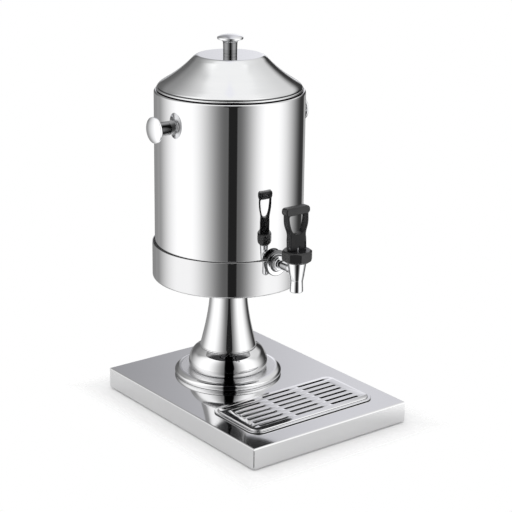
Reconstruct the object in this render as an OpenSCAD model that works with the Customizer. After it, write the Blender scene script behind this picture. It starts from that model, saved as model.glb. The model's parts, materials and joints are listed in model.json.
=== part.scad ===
// Countertop milk urn: a double-walled drum on a turned pedestal, with a lever tap over a drip tray.
// Units are millimetres. The origin is on the table under the middle of the base plate, +Z is up
// and the tap faces -Y.

/* [Base plate] */
// Width of the base plate, left to right
plate_w = 260; // [230:1:320]
// Depth of the base plate, front to back
plate_d = 340; // [310:1:400]
// Height of the folded sides of the base plate
plate_h = 28.5; // [24:0.5:45]
// Thickness of the base plate's sheet
plate_sheet = 1.2; // [0.8:0.1:2]
// Radius of the bend along the top edges
plate_bend = 2; // [1:0.1:4]
// Width of the flange turned in at the bottom of the sides
plate_flange = 22; // [18:1:30]
// Width of the open seam at each folded corner
corner_seam = 1; // [0.3:0.1:1.2]
// Distance from the plate's rear edge to the drum's axis
drum_setback = 109; // [107:1:130]

/* [Feet] */
// Height of the rubber feet below the plate
foot_h = 2; // [1:0.5:8]
// Radius of a rubber foot
foot_r = 8; // [6:0.5:9]
// Radius of the foot's neck through the flange
foot_neck_r = 4; // [3:0.5:5]
// Height of the foot's head above the flange
foot_head_h = 3; // [2:0.5:5]
// Distance of a foot's centre from the plate's front or rear edge
foot_inset = 34; // [30:1:60]

/* [Pedestal] */
// Outer radius of the pedestal's foot ring
ring_r = 75.5; // [68:0.5:85]
// Height of the foot ring
ring_h = 9.5; // [7:0.5:12]
// Largest radius of the bulb
bulb_r = 55.8; // [50:0.1:62]
// Height of the bulb
bulb_h = 31.5; // [28:0.5:36]
// Radius of the flat top of the bulb
bulb_top_r = 38; // [34:0.5:39]
// Radius of the column's lower rim
column_rim_r = 40.3; // [40:0.1:46]
// Radius of the column's top
column_top_r = 25; // [22:0.5:30]
// Height of the column
column_h = 105; // [90:1:130]
// Thickness of the spun pedestal shells
spun_wall = 1.2; // [0.8:0.1:1.6]
// Radius of the tie rod
rod_r = 5; // [4:0.5:6]
// Thickness of the stiffening plate under the pedestal
stiffener_t = 3; // [2:0.5:5]
// Side of the stiffening plate
stiffener_w = 120; // [100:1:140]

/* [Drum] */
// Outer radius of the outer shell
shell_r = 102.5; // [100:0.5:104]
// Wall of the outer shell
shell_wall = 1; // [0.6:0.1:1.4]
// Radius of the shell's rounded top edge
shell_edge_r = 2.7; // [2:0.1:3.5]
// Height from the bottom of the base cup to the top of the shell
drum_h = 262.3; // [240:0.1:320]
// Outer radius of the base cup
cup_r = 106; // [105.5:0.1:109]
// Height of the base cup's wall
cup_h = 50; // [48:0.5:56]
// Wall of the base cup
cup_wall = 1; // [0.8:0.1:1.2]
// Outer radius of the inner vessel
vessel_r = 96.4; // [95:0.1:97]
// Wall of the inner vessel
vessel_wall = 0.8; // [0.6:0.1:1.2]
// Height of the vessel's underside above the base cup's underside
vessel_lift = 25.5; // [24:0.5:28]
// Radius of the rolled bead around the vessel's mouth
bead_r = 1.9; // [1.6:0.1:2]

/* [Lid] */
// Height of the lid from its rim to its flat top
lid_h = 43.1; // [36:0.1:56]
// Outer radius of the lid's rim
lid_r = 98; // [97.6:0.1:98.6]
// Radius of the lid's flat top
lid_top_r = 43; // [38:0.5:48]
// Thickness of the lid's sheet
lid_wall = 0.9; // [0.7:0.1:1.2]
// Depth of the skirt that locates the lid in the vessel's mouth
skirt_h = 14; // [10:0.5:20]
// Radius of the ice tube
ice_r = 25; // [20:0.5:28]
// Length of the ice tube
ice_len = 255; // [180:1:262]

/* [Knobs] */
// Radius of a knob's cap
knob_r = 17.8; // [15:0.1:20]
// Height of a knob from its mounting face
knob_h = 25; // [23:0.1:30]
// Height of the collar under the lid's knob
knob_collar = 2; // [1:0.1:4]
// Radius of a knob's stem at its mounting face
knob_stem_r = 9.4; // [7.5:0.1:10]
// Distance of the side knobs' centres below the top of the outer shell
knob_drop = 40.3; // [30:0.1:80]

/* [Tap] */
// Distance from the drum's wall to the spout's centre line
tap_reach = 47.5; // [44:0.5:60]
// Height of the tap's shank above the base cup's underside
tap_rise = 45; // [44:0.5:50]
// Radius of the shank
shank_r = 6.4; // [6:0.1:7]
// Radius of the spout's end
spout_r = 8.75; // [8:0.05:9.5]
// Radius of the tap body at its top
tap_top_r = 12.8; // [12:0.1:13]
// Distance from the shank's centre line down to the spout's end
spout_drop = 28.5; // [24:0.5:40]
// Radius of the outlet bore
outlet_r = 5.5; // [4:0.1:6]
// Distance across the flats of the bonnet
bonnet_flats = 38.5; // [34:0.5:42]
// Height of the bonnet
bonnet_h = 17; // [16:0.5:22]
// Radius of the escutcheon disc
disc_r = 18.2; // [17:0.1:20]
// Radius of the valve stem
stem_r = 2.2; // [2:0.1:2.6]
// Turns of the return spring
spring_turns = 6; // [4:1:8]
// Radius of the return spring's wire
spring_wire_r = 0.5; // [0.3:0.1:0.7]

/* [Lever] */
// Width of the lever's neck
neck_w = 26; // [22:0.5:30]
// Depth of the lever, front to back
lever_d = 10; // [8:0.5:11]
// Width of the lever at the legs beside the window
legs_w = 34.5; // [32:0.5:38]
// Width of the window at its top
window_w = 28.5; // [24:0.5:30]
// Length of the bar on top of the lever
bar_w = 40; // [36:0.5:46]
// Depth of the bar
bar_d = 12; // [10:0.5:13]
// Height of the bar
bar_h = 10.5; // [8:0.5:12]
// Height of the lever above the bonnet
lever_h = 58; // [54:0.5:70]
// Lean of the lever towards the drum, in degrees
lever_lean = 3; // [0:0.5:5]
// Radius of the pivot pin
pin_r = 1; // [0.8:0.1:1.2]

/* [Drip tray] */
// Width of the tray's flange
tray_w = 208; // [180:1:214]
// Depth of the tray's flange, front to back
tray_d = 101.5; // [90:0.5:104]
// Corner radius of the tray's flange
tray_corner = 17; // [12:0.5:20]
// Thickness of the tray's and the grid's sheet
tray_sheet = 0.8; // [0.6:0.1:1]
// Depth of the tray's basin below the plate's top
tray_depth = 21; // [14:0.5:22]
// Width of the flange around the basin
tray_lip = 6; // [5.5:0.5:8]
// Thickness of the rubber gasket under the tray's flange
gasket_t = 0.8; // [0.5:0.1:1.2]
// Length of a slot in the grid
slot_len = 48; // [40:0.5:52]
// Width of a slot
slot_w = 5; // [3:0.5:7]
// Distance between the rows of slots
slot_pitch = 12; // [10:0.5:14]
// Distance of the slots' middle behind the grid's middle
slot_shift = 2; // [0:0.5:3]

/* [Hidden] */
$fn = 96;
// Clearance between pieces that come apart or move
gap = 0.3;
// Running clearance of a shaft in its hole
running = 0.07;
// Clearance of a piece that is assembled and stays
fitted = 0.1;
// Clearance of a piece that is screwed or sprung against its seat
seated = 0.05;
// How far a cut runs past the surface that it opens
past = 1;

// Heights along the stack
plate_z = foot_h + plate_h;
bulb_z = plate_z + ring_h;
column_z = bulb_z + bulb_h;
cup_z = column_z + column_h;
shell_z = cup_z + cup_wall;
shell_top = cup_z + drum_h;
vessel_z = cup_z + vessel_lift;
bead_z = shell_top + seated + bead_r;
lid_z = bead_z + bead_r + gap;
lid_top = lid_z + lid_h;
drum_y = plate_d / 2 - drum_setback;

// Steel
steel = [0.78, 0.78, 0.8];
satin = [0.72, 0.73, 0.75];
dark_steel = [0.55, 0.55, 0.58];
black_rubber = [0.12, 0.12, 0.13];
black_plastic = [0.17, 0.17, 0.18];
silicone = [0.85, 0.86, 0.84];

// Fasteners
nut_flats = 17;
nut_h = 8;
washer_t = 2;
washer_r = 15;
rod_hole_r = rod_r + 0.5;
rod_spare = 3;
screw_r = 2.5;
screw_hole_r = screw_r + 0.25;
screw_head_r = 4.5;
screw_head_h = 1.6;
screw_washer_t = 0.5;
knob_hole_depth = 12;

// Places and radii inside the drum
shell_in_r = shell_r - shell_wall;
vessel_in_r = vessel_r - vessel_wall;
bead_center_r = vessel_r - vessel_wall + bead_r;
vessel_corner = 6;
cup_corner = 3;
cup_lip_r = 0.5;
seal_h = 4;
seal_drop = 0.3;

// Tray and grid
tray_front = 31;
tray_y = -plate_d / 2 + tray_d / 2 + tray_front;
basin_w = tray_w - 2 * tray_lip;
basin_d = tray_d - 2 * tray_lip;
basin_corner = tray_corner - tray_lip + 2;
cutout_gap = 1.4;
gasket_inset = 0.2;
tray_z = plate_z + gap + gasket_t + seated;
grid_edge = 4.5;
grid_w = tray_w - 2 * grid_edge;
grid_d = tray_d - 2 * grid_edge;
grid_corner = tray_corner - grid_edge;
grid_rise = 1.3;
grid_z = tray_z + tray_sheet + gap;
grid_rows = floor((grid_d - slot_pitch) / slot_pitch + 0.5);
column_gap = 13.5;

// Tap
tap_y = drum_y - shell_r - tap_reach;
tap_z = cup_z + tap_rise;
spout_z = tap_z - spout_drop;
spout_straight = 15;
tap_rim_rise = 14.8;
tap_top_z = tap_z + tap_rim_rise;
neck_r = 10.4;
neck_h = 9.7;
chamber_r = 8.6;
seat_drop = 8.5;
seat_z = tap_z - seat_drop;
shank_bore_r = 4;
bonnet_cover = 2.3;
bonnet_z = tap_top_z - bonnet_cover;
bonnet_top = bonnet_z + bonnet_h;
seal_t = 1;
roof_t = bonnet_top - tap_top_z - neck_h - seal_t;
roof_z = bonnet_top - roof_t;
boss_r = 12.2;
disc_t = 3;
disc_face = cup_r + 1;
spring_r = 5.4;
plug_h = 5.7;
pin_rise = 4;
pin_z = bonnet_top + pin_rise;
lever_z = bonnet_top + gap;
heel_r = 1;
lever_back = 1.3;
lever_front = lever_d / 2 - lever_back;
lever_swing = 40;
shank_nut_flats = 22;
shank_nut_h = 5;

// Points of a cubic curve from a to d, pulled towards b and c, without its first point
function curve(a, b, c, d, steps = 10) = [for (i = [1:steps]) let (t = i / steps, s = 1 - t)
    s * s * s * a + 3 * s * s * t * b + 3 * s * t * t * c + t * t * t * d];
// Points of an arc about a centre, from one angle to another
function arc(centre, r, from, to, steps = 8) = [for (i = [0:steps]) let (t = from + (to - from) * i / steps)
    centre + r * [cos(t), sin(t)]];
// A list backwards
function backwards(list) = [for (i = [len(list) - 1:-1:0]) list[i]];
// A profile moved square to itself by t towards its right-hand side, for the inside of a shell
function inward(points, t) = [for (i = [0:len(points) - 1]) let (
    a = points[max(i - 1, 0)],
    b = points[min(i + 1, len(points) - 1)],
    along = (b - a) / norm(b - a)) points[i] + t * [along[1], -along[0]]];

// A rectangle with rounded corners, centred
module rounded(w, d, r) {
    square([w - 2 * r, d], center = true);
    square([w, d - 2 * r], center = true);
    for (x = [-1, 1], y = [-1, 1])
        translate([x * (w / 2 - r), y * (d / 2 - r)]) circle(r);
}

// A block with rounded corners that stands on z
module slab(w, d, r, z, h) {
    translate([0, 0, z]) linear_extrude(h) rounded(w, d, r);
}

// A ring around the Z axis
module ring(outer, inner, z, h) {
    translate([0, 0, z]) difference() {
        cylinder(h = h, r = outer);
        translate([0, 0, -past]) cylinder(h = h + 2 * past, r = inner);
    }
}

// A cylinder along Y from y0 to y1
module along_y(r, y0, y1) {
    translate([0, y0, 0]) rotate([-90, 0, 0]) cylinder(h = y1 - y0, r = r);
}

// A hexagonal nut that stands on z with its hole
module hex_nut(flats, hole_r, h) {
    difference() {
        cylinder(h = h, r = flats / 2 / cos(30), $fn = 6);
        translate([0, 0, -past]) cylinder(h = h + 2 * past, r = hole_r);
    }
}

// One mushroom knob with its tapped hole, standing on z = 0 on a collar as high as foot
module knob(foot = 0) {
    rim_z = knob_h - 3.9;
    under = rim_z - 2.2;
    waist = [knob_stem_r + 0.3, under * 0.64];
    difference() {
        rotate_extrude() union() {
            translate([0, foot]) polygon(concat(
                [[0, 0], [knob_stem_r, 0]],
                curve([knob_stem_r, 0], [knob_stem_r, 4.5], [knob_stem_r + 0.1, 8.5], waist, 6),
                curve(waist, waist + [0.1, 3.6], [knob_r - 6.3, under - 1.4], [knob_r - 0.9, under], 6),
                curve([knob_r - 0.9, under], [knob_r, under + 0.5], [knob_r, rim_z + 0.1],
                    [knob_r - 0.7, rim_z + 0.7], 5),
                curve([knob_r - 0.7, rim_z + 0.7], [knob_r - 4.5, rim_z + 2.8], [7, knob_h],
                    [0, knob_h], 6)));
            if (foot > 0) square([knob_stem_r, foot + past]);
        }
        translate([0, 0, -past]) cylinder(h = knob_hole_depth + past, r = screw_r);
    }
}

// One screw with its washer, head down, whose washer's face is at z = 0
module knob_screw(shank_len) {
    translate([0, 0, -screw_washer_t]) cylinder(h = screw_washer_t, r = screw_head_r);
    translate([0, 0, -screw_washer_t - screw_head_h]) difference() {
        cylinder(h = screw_head_h, r = screw_head_r - 0.5);
        translate([0, 0, -past]) cylinder(h = past + 0.9, r = 1.5, $fn = 6);
    }
    translate([0, 0, -screw_washer_t]) cylinder(h = screw_washer_t + shank_len, r = screw_r);
}

// Moves its children to the drum's axis
module on_drum() {
    translate([0, drum_y, 0]) children();
}

// Moves its children to the tap's upright axis
module on_tap() {
    translate([0, tap_y, 0]) children();
}

// Moves its children to the shank's level on the drum's axis
module on_shank() {
    translate([0, drum_y, tap_z]) children();
}

// Outline of a folded box of one width, with its two top bends, drawn upright
module folded_outline(w, h, r) {
    translate([-w / 2, 0]) square([w, h - r]);
    translate([-w / 2 + r, 0]) square([w - 2 * r, h]);
    for (x = [-1, 1]) translate([x * (w / 2 - r), h - r]) circle(r);
}

// A block with its four top edges rounded
module folded_block(w, d, h, r) {
    intersection() {
        translate([0, d / 2, 0]) rotate([90, 0, 0]) linear_extrude(d) folded_outline(w, h, r);
        translate([-w / 2, 0, 0]) rotate([90, 0, 90]) linear_extrude(w) folded_outline(d, h, r);
    }
}

// Places of the rubber feet
foot_x = plate_w / 2 - plate_sheet - plate_flange / 2;
foot_y = plate_d / 2 - foot_inset;

module base_plate() {
    inner_bend = plate_bend - plate_sheet / 2;
    seam_len = 1.5 * (plate_flange + plate_sheet);
    seam_stop = 0.2;
    color(steel) difference() {
        translate([0, 0, foot_h]) folded_block(plate_w, plate_d, plate_h, plate_bend);
        translate([0, 0, foot_h + plate_sheet])
            folded_block(plate_w - 2 * plate_sheet, plate_d - 2 * plate_sheet,
                plate_h - 2 * plate_sheet, inner_bend);
        translate([0, 0, foot_h - past]) linear_extrude(plate_sheet + 2 * past)
            square([plate_w - 2 * (plate_sheet + plate_flange),
                plate_d - 2 * (plate_sheet + plate_flange)], center = true);
        translate([0, tray_y, 0])
            slab(basin_w + 2 * cutout_gap, basin_d + 2 * cutout_gap, basin_corner + cutout_gap,
                plate_z - plate_sheet - past, plate_sheet + 2 * past);
        on_drum() translate([0, 0, plate_z - plate_sheet - past])
            cylinder(h = plate_sheet + 2 * past, r = rod_hole_r);
        for (x = [-1, 1], y = [-1, 1]) translate([x * foot_x, y * foot_y, foot_h - past])
            cylinder(h = plate_sheet + 2 * past, r = foot_neck_r);
        for (x = [-1, 1], y = [-1, 1])
            translate([x * plate_w / 2, y * plate_d / 2, foot_h - past]) rotate([0, 0, x * y * 45])
                translate([-seam_len, -corner_seam / 2, 0])
                    cube([2 * seam_len, corner_seam, plate_h - plate_bend - seam_stop + past]);
    }
}

module plate_stiffener() {
    color(dark_steel) on_drum() difference() {
        slab(stiffener_w, stiffener_w, 6, plate_z - plate_sheet - stiffener_t, stiffener_t);
        translate([0, 0, plate_z - plate_sheet - stiffener_t - past])
            cylinder(h = stiffener_t + 2 * past, r = rod_hole_r);
    }
}

module rubber_feet() {
    flange_top = foot_h + plate_sheet;
    color(black_rubber) for (x = [-1, 1], y = [-1, 1]) translate([x * foot_x, y * foot_y, 0])
        rotate_extrude() polygon([[0, 0], [foot_r - 0.6, 0], [foot_r, 0.6], [foot_r, foot_h],
            [foot_neck_r, foot_h], [foot_neck_r, flange_top], [foot_neck_r + 1.6, flange_top],
            [foot_neck_r, flange_top + foot_head_h], [0, flange_top + foot_head_h]]);
}

module pedestal_foot() {
    inner_r = 20;
    arc_r = ring_h;
    outer = arc([ring_r - arc_r, 0], arc_r, 0, 90, 12);
    inner = arc([ring_r - arc_r, 0], arc_r - spun_wall, 0, 90, 12);
    color(steel) on_drum() translate([0, 0, plate_z]) rotate_extrude() polygon(concat(
        outer, [[inner_r, ring_h], [inner_r, ring_h - spun_wall]], backwards(inner)));
}

// Outer curve of the bulb from its bottom to the edge of its flat top
function bulb_curve() = concat([[bulb_r - 5, 0]],
    curve([bulb_r - 5, 0], [bulb_r - 1.6, 0.8], [bulb_r, 4], [bulb_r, 8], 6),
    curve([bulb_r, 8], [bulb_r, 15], [bulb_r - 3.6, 23.5], [bulb_r - 9, 27], 7),
    curve([bulb_r - 9, 27], [bulb_r - 12, 28.9], [bulb_top_r + 2, bulb_h - 0.3], [bulb_top_r, bulb_h], 4));

module pedestal_bulb() {
    outer = bulb_curve();
    color(steel) on_drum() translate([0, 0, bulb_z]) rotate_extrude() polygon(concat(
        outer, [[rod_hole_r, bulb_h], [rod_hole_r, bulb_h - spun_wall]],
        [[bulb_top_r - spun_wall, bulb_h - spun_wall]],
        backwards(inward([for (i = [1:len(outer) - 2]) outer[i]], -spun_wall)),
        [[bulb_r - 5 - spun_wall, 0]]));
}

module pedestal_column() {
    rim_h = 1.8;
    outer = curve([column_rim_r - 0.8, rim_h], [column_rim_r - 7.2, column_h * 0.27],
        [column_top_r + 0.4, column_h * 0.52], [column_top_r, column_h], 20);
    top_inner_z = column_h - spun_wall;
    color(steel) on_drum() translate([0, 0, column_z]) rotate_extrude() polygon(concat(
        [[column_rim_r, 0]], arc([column_rim_r - rim_h / 2, rim_h / 2], rim_h / 2, -30, 90, 4),
        outer, [[rod_hole_r, column_h], [rod_hole_r, top_inner_z], [column_top_r - spun_wall, top_inner_z]],
        backwards(inward([for (i = [0:len(outer) - 3]) outer[i]], -spun_wall)),
        [[column_rim_r - 0.8 - spun_wall, 0]]));
}

rod_z0 = plate_z - plate_sheet - stiffener_t - washer_t - nut_h - rod_spare;
rod_z1 = shell_z + washer_t + nut_h + rod_spare;

module tie_rod() {
    color(dark_steel) on_drum() translate([0, 0, rod_z0]) cylinder(h = rod_z1 - rod_z0, r = rod_r);
}

module rod_washers() {
    color(steel) on_drum() {
        ring(washer_r, rod_r + fitted, rod_z0 + rod_spare + nut_h, washer_t);
        ring(washer_r, rod_r + fitted, shell_z, washer_t);
    }
}

module rod_nuts() {
    color(dark_steel) on_drum() {
        translate([0, 0, rod_z0 + rod_spare]) hex_nut(nut_flats, rod_r, nut_h);
        translate([0, 0, shell_z + washer_t]) hex_nut(nut_flats, rod_r, nut_h);
    }
}

module base_cup() {
    notch_r = boss_r + fitted;
    lip = [cup_r - cup_lip_r, cup_h - cup_lip_r];
    outer = concat(arc([cup_r - cup_corner, cup_corner], cup_corner, -90, 0, 6),
        arc(lip, cup_lip_r, 0, 180, 6));
    color(satin) on_drum() difference() {
        translate([0, 0, cup_z]) rotate_extrude() polygon(concat(
            [[rod_hole_r, 0]], outer,
            backwards(arc([cup_r - cup_corner, cup_corner], cup_corner - cup_wall, -90, 0, 6)),
            [[rod_hole_r, cup_wall]]));
        translate([0, 0, tap_z]) along_y(notch_r, -cup_r - past, -cup_r / 2);
    }
}

// Black ring that fills the step between the shell and the cup's wall
module cup_seal() {
    outer_r = cup_r - cup_wall - fitted;
    inner_r = shell_r + fitted;
    round_r = 0.4;
    color(black_rubber) on_drum() difference() {
        translate([0, 0, cup_z + cup_h - seal_drop - seal_h]) rotate_extrude() polygon(concat(
            [[inner_r, 0], [outer_r, 0]], arc([outer_r - round_r, seal_h - round_r], round_r, 0, 90, 4),
            [[inner_r, seal_h]]));
        translate([0, 0, tap_z]) along_y(boss_r + fitted, -cup_r - past, -cup_r / 2);
    }
}

module outer_shell() {
    height = shell_top - shell_z;
    ledge_r = vessel_r + gap;
    edge = [shell_r - shell_edge_r, height - shell_edge_r];
    color(steel) on_drum() difference() {
        translate([0, 0, shell_z]) rotate_extrude() polygon(concat(
            [[shell_in_r, 0], [shell_r, 0]], arc(edge, shell_edge_r, 0, 90, 6),
            [[ledge_r, height], [ledge_r, height - shell_wall]],
            backwards(arc(edge, shell_edge_r - shell_wall, 0, 90, 6))));
        translate([0, 0, tap_z]) along_y(shank_r + fitted, -shell_r - past, -shell_r / 2);
        translate([0, 0, shell_top - knob_drop]) rotate([0, 90, 0])
            cylinder(h = 2 * (shell_r + past), r = screw_hole_r, center = true);
    }
}

module inner_vessel() {
    height = bead_z - vessel_z;
    outer = arc([vessel_r - vessel_corner, vessel_corner], vessel_corner, -90, 0, 8);
    inner = arc([vessel_r - vessel_corner, vessel_corner], vessel_corner - vessel_wall, -90, 0, 8);
    color(satin) on_drum() difference() {
        union() {
            translate([0, 0, vessel_z]) rotate_extrude() polygon(concat(
                [[0, 0]], outer, [[vessel_r, height], [vessel_in_r, height]],
                backwards(inner), [[0, vessel_wall]]));
            translate([0, 0, bead_z]) rotate_extrude() {
                translate([bead_center_r, 0]) circle(bead_r, $fn = 24);
                translate([vessel_in_r, -vessel_wall / 2]) square([bead_center_r - vessel_in_r, vessel_wall]);
            }
        }
        translate([0, 0, tap_z]) along_y(shank_r + fitted, -vessel_r - past, -vessel_r / 2);
    }
}

// Places its children at the mounting face of a side knob: 1 is the right side, -1 the left
module at_side_knob(side) {
    on_drum() translate([side * (shell_r + seated), 0, shell_top - knob_drop]) rotate([0, side * 90, 0])
        children();
}

module left_knob() {
    color(steel) at_side_knob(-1) knob();
}

module right_knob() {
    color(steel) at_side_knob(1) knob();
}

module knob_screws() {
    washer_drop = screw_head_r * screw_head_r / (2 * shell_in_r) + shell_wall + fitted;
    color(dark_steel) for (side = [-1, 1]) at_side_knob(side)
        translate([0, 0, -washer_drop]) knob_screw(washer_drop + knob_hole_depth - 2);
}

// Outer curve of the lid from its flat top down to its rim
function lid_curve() = let (
    top = [lid_top_r, lid_h],
    shoulder = [lid_top_r + 8, lid_h - 4.8],
    cone_end = [lid_r - 8.5, 7.6]) concat([top],
    curve(top, top + [2.4, 0], shoulder + [-1.9, 2], shoulder, 8),
    curve(shoulder, shoulder + [6.4, -6.7], cone_end + [-20.3, 12.2], cone_end, 10),
    curve(cone_end, cone_end + [5.8, -3.5], [lid_r - 0.4, 1.8], [lid_r, 0], 8));

module lid() {
    outer = lid_curve();
    hem = 1.6;
    color(satin) on_drum() translate([0, 0, lid_z]) rotate_extrude() polygon(concat(
        [[screw_hole_r, lid_h]], outer, [[lid_r - hem, 0], [lid_r - hem, 1.2]],
        backwards(inward([for (i = [0:len(outer) - 4]) outer[i]], lid_wall)),
        [[screw_hole_r, lid_h - lid_wall]]));
}

skirt_r = vessel_in_r - 1;

module lid_skirt() {
    top = 2.6;
    turn = 1.6;
    color(satin) on_drum() translate([0, 0, lid_z]) rotate_extrude() polygon([
        [skirt_r, -skirt_h], [skirt_r, top], [skirt_r - 3.2, top + 2.3], [skirt_r - 3.8, top + 1.5],
        [skirt_r - tray_sheet, top - 0.6], [skirt_r - tray_sheet, turn - skirt_h],
        [skirt_r - 4, turn - skirt_h - 0.8], [skirt_r - 4, -skirt_h]]);
}

module lid_gasket() {
    lip = vessel_in_r - gap;
    color(silicone) on_drum() translate([0, 0, lid_z - skirt_h / 2]) rotate_extrude()
        polygon([[skirt_r, 0], [lip - 0.2, 0.4], [lip, 1], [lip - 0.2, 1.6], [skirt_r, 2.4]]);
}

module lid_knob() {
    color(steel) on_drum() translate([0, 0, lid_top]) knob(knob_collar);
}

module lid_screw() {
    color(dark_steel) on_drum() translate([0, 0, lid_top - lid_wall])
        knob_screw(lid_wall + knob_hole_depth - 2);
}

socket_h = 13;
socket_wall = 2;
ice_top_drop = 6;
ice_top = lid_top - lid_wall - ice_top_drop;

module ice_socket() {
    color(dark_steel) on_drum()
        ring(ice_r + fitted + socket_wall, ice_r + fitted, lid_top - lid_wall - socket_h, socket_h);
}

module ice_tube() {
    wall = 0.8;
    bottom_r = 8;
    outer = arc([ice_r - bottom_r, bottom_r], bottom_r, -90, 0, 8);
    inner = arc([ice_r - bottom_r, bottom_r], bottom_r - wall, -90, 0, 8);
    color(satin) on_drum() translate([0, 0, ice_top - ice_len]) rotate_extrude() polygon(concat(
        [[0, 0]], outer, [[ice_r, ice_len], [ice_r - wall, ice_len]], backwards(inner), [[0, wall]]));
}

module drip_tray() {
    floor_z = plate_z - tray_depth;
    color(satin) translate([0, tray_y, 0]) difference() {
        union() {
            slab(tray_w, tray_d, tray_corner, tray_z, tray_sheet);
            slab(basin_w, basin_d, basin_corner, floor_z, tray_z - floor_z + tray_sheet / 2);
        }
        slab(basin_w - 2 * tray_sheet, basin_d - 2 * tray_sheet, basin_corner - tray_sheet,
            floor_z + tray_sheet, tray_z - floor_z + past);
    }
}

module tray_gasket() {
    hole_w = basin_w + 2 * fitted;
    hole_d = basin_d + 2 * fitted;
    color(black_rubber) translate([0, tray_y, 0]) difference() {
        slab(tray_w - 2 * gasket_inset, tray_d - 2 * gasket_inset, tray_corner - gasket_inset, plate_z + gap,
            gasket_t);
        slab(hole_w, hole_d, basin_corner + fitted, plate_z + gap - past, gasket_t + 2 * past);
    }
}

// The grid's four tabs, which keep it in the basin
module grid_tabs() {
    tab_w = 20;
    tab_drop = 6;
    tab_x = basin_w / 2 - tray_sheet - gap - tray_sheet / 2;
    for (side = [-1, 1], end = [-1, 1])
        translate([side * tab_x - tray_sheet / 2, end * grid_d / 5 - tab_w / 2, grid_z - tab_drop])
            cube([tray_sheet, tab_w, tab_drop + grid_rise - tray_sheet / 2]);
}

module drip_grid() {
    color(steel) translate([0, tray_y, 0]) {
        difference() {
            slab(grid_w, grid_d, grid_corner, grid_z, grid_rise);
            slab(grid_w - 2 * tray_sheet, grid_d - 2 * tray_sheet, grid_corner - tray_sheet,
                grid_z - past, grid_rise - tray_sheet + past);
            for (column = [-1:1], row = [0:grid_rows - 1]) translate([column * (slot_len + column_gap),
                    (row - (grid_rows - 1) / 2) * slot_pitch + slot_shift, 0])
                slab(slot_len, slot_w, slot_w / 2 - 0.01, grid_z - past, grid_rise + 2 * past);
        }
        grid_tabs();
    }
}

// Outer profile of the tap body around its upright axis, from the spout's end up
function tap_curve() = let (straight_z = spout_z + spout_straight) concat(
    [[outlet_r, spout_z], [spout_r - 1, spout_z]],
    curve([spout_r - 1, spout_z], [spout_r - 0.3, spout_z + 0.2], [spout_r, spout_z + 0.8],
        [spout_r, spout_z + 1.8], 4),
    [[spout_r, straight_z - 1]],
    curve([spout_r, straight_z - 1], [spout_r, straight_z + 0.6], [spout_r + 0.25, straight_z + 1.6],
        [spout_r + 0.6, straight_z + 3], 4),
    [[tap_top_r, tap_top_z - 1.6], [tap_top_r, tap_top_z], [neck_r, tap_top_z],
        [neck_r, tap_top_z + neck_h]]);

module tap_body() {
    shank_end = drum_y - vessel_in_r + 13;
    color(steel) difference() {
        union() {
            on_tap() rotate_extrude() polygon(concat(tap_curve(),
                [[chamber_r, tap_top_z + neck_h], [chamber_r, seat_z], [outlet_r, seat_z]]));
            difference() {
                translate([0, 0, tap_z]) {
                    along_y(shank_r, tap_y, shank_end);
                    along_y(shank_r + 0.8, tap_y, tap_y + tap_top_r + 2);
                }
                on_tap() translate([0, 0, tap_z - 2 * shank_r])
                    cylinder(h = 4 * shank_r, r = chamber_r + 0.4);
            }
        }
        translate([0, 0, tap_z]) along_y(shank_bore_r, tap_y, shank_end + past);
    }
}

module escutcheon() {
    hub_r = 10.5;
    color(steel) on_shank() rotate([90, 0, 0]) translate([0, 0, disc_face]) rotate_extrude() polygon(concat(
        [[shank_r + fitted, 0], [disc_r - 0.6, 0], [disc_r, 0.6]],
        curve([disc_r, 0.6], [disc_r, 1.7], [disc_r - 0.8, 2.1], [disc_r - 1.8, 2.1], 5),
        curve([disc_r - 1.8, 2.1], [disc_r - 4, 1.9], [hub_r + 1.5, 1.4], [hub_r + 0.6, 2.4], 5),
        [[hub_r, disc_t], [hub_r, disc_t + 2.6], [hub_r - 1, disc_t + 3.6], [shank_r + 1.8, disc_t + 3.6],
            [shank_r + 1.8, disc_t + 5], [shank_r + fitted, disc_t + 5]]));
}

module tap_spacer() {
    color(black_rubber) on_shank() difference() {
        along_y(boss_r, -disc_face, -shell_r / 2);
        cylinder(h = 4 * boss_r, r = shell_r, center = true, $fn = 360);
        along_y(shank_r + fitted, -disc_face - past, -shell_r / 2 + past);
    }
}

tap_washer_r = 12;
tap_washer_t = 2;

module tap_washer() {
    color(black_rubber) on_shank() difference() {
        intersection() {
            along_y(tap_washer_r, -vessel_r, -vessel_in_r + 0.8 + tap_washer_t);
            cylinder(h = 4 * tap_washer_r, r = vessel_in_r, center = true, $fn = 720);
        }
        along_y(shank_r + fitted, -vessel_r - past, -vessel_r / 2);
    }
}

module shank_nut() {
    color(steel) on_shank() translate([0, -vessel_in_r + 0.8 + tap_washer_t, 0]) rotate([-90, 0, 0])
        hex_nut(shank_nut_flats, shank_r, shank_nut_h);
}

module bonnet() {
    corner_r = bonnet_flats / 2 / cos(22.5);
    lower_r = tap_top_r + 0.7;
    color(black_plastic) on_tap() difference() {
        intersection() {
            translate([0, 0, bonnet_z]) rotate([0, 0, 22.5]) cylinder(h = bonnet_h, r = corner_r, $fn = 8);
            translate([0, 0, bonnet_z]) rotate_extrude() polygon([[0, 0], [lower_r, 0],
                [lower_r + 2.6, 0.9], [corner_r + 0.2, 5], [corner_r + 0.2, bonnet_h - 3],
                [corner_r - 3.4, bonnet_h], [0, bonnet_h]]);
        }
        translate([0, 0, bonnet_z - past]) cylinder(h = tap_top_z - bonnet_z + past + fitted,
            r = tap_top_r + fitted);
        translate([0, 0, bonnet_z]) cylinder(h = roof_z - bonnet_z, r = neck_r + fitted);
        translate([0, 0, roof_z - past]) cylinder(h = roof_t + 2 * past, r = stem_r + running);
    }
}

module bonnet_seal() {
    seal_z = tap_top_z + neck_h;
    color(silicone) on_tap() ring(neck_r, spring_r + spring_wire_r + 1.4, seal_z, roof_z - seal_z);
}

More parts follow.
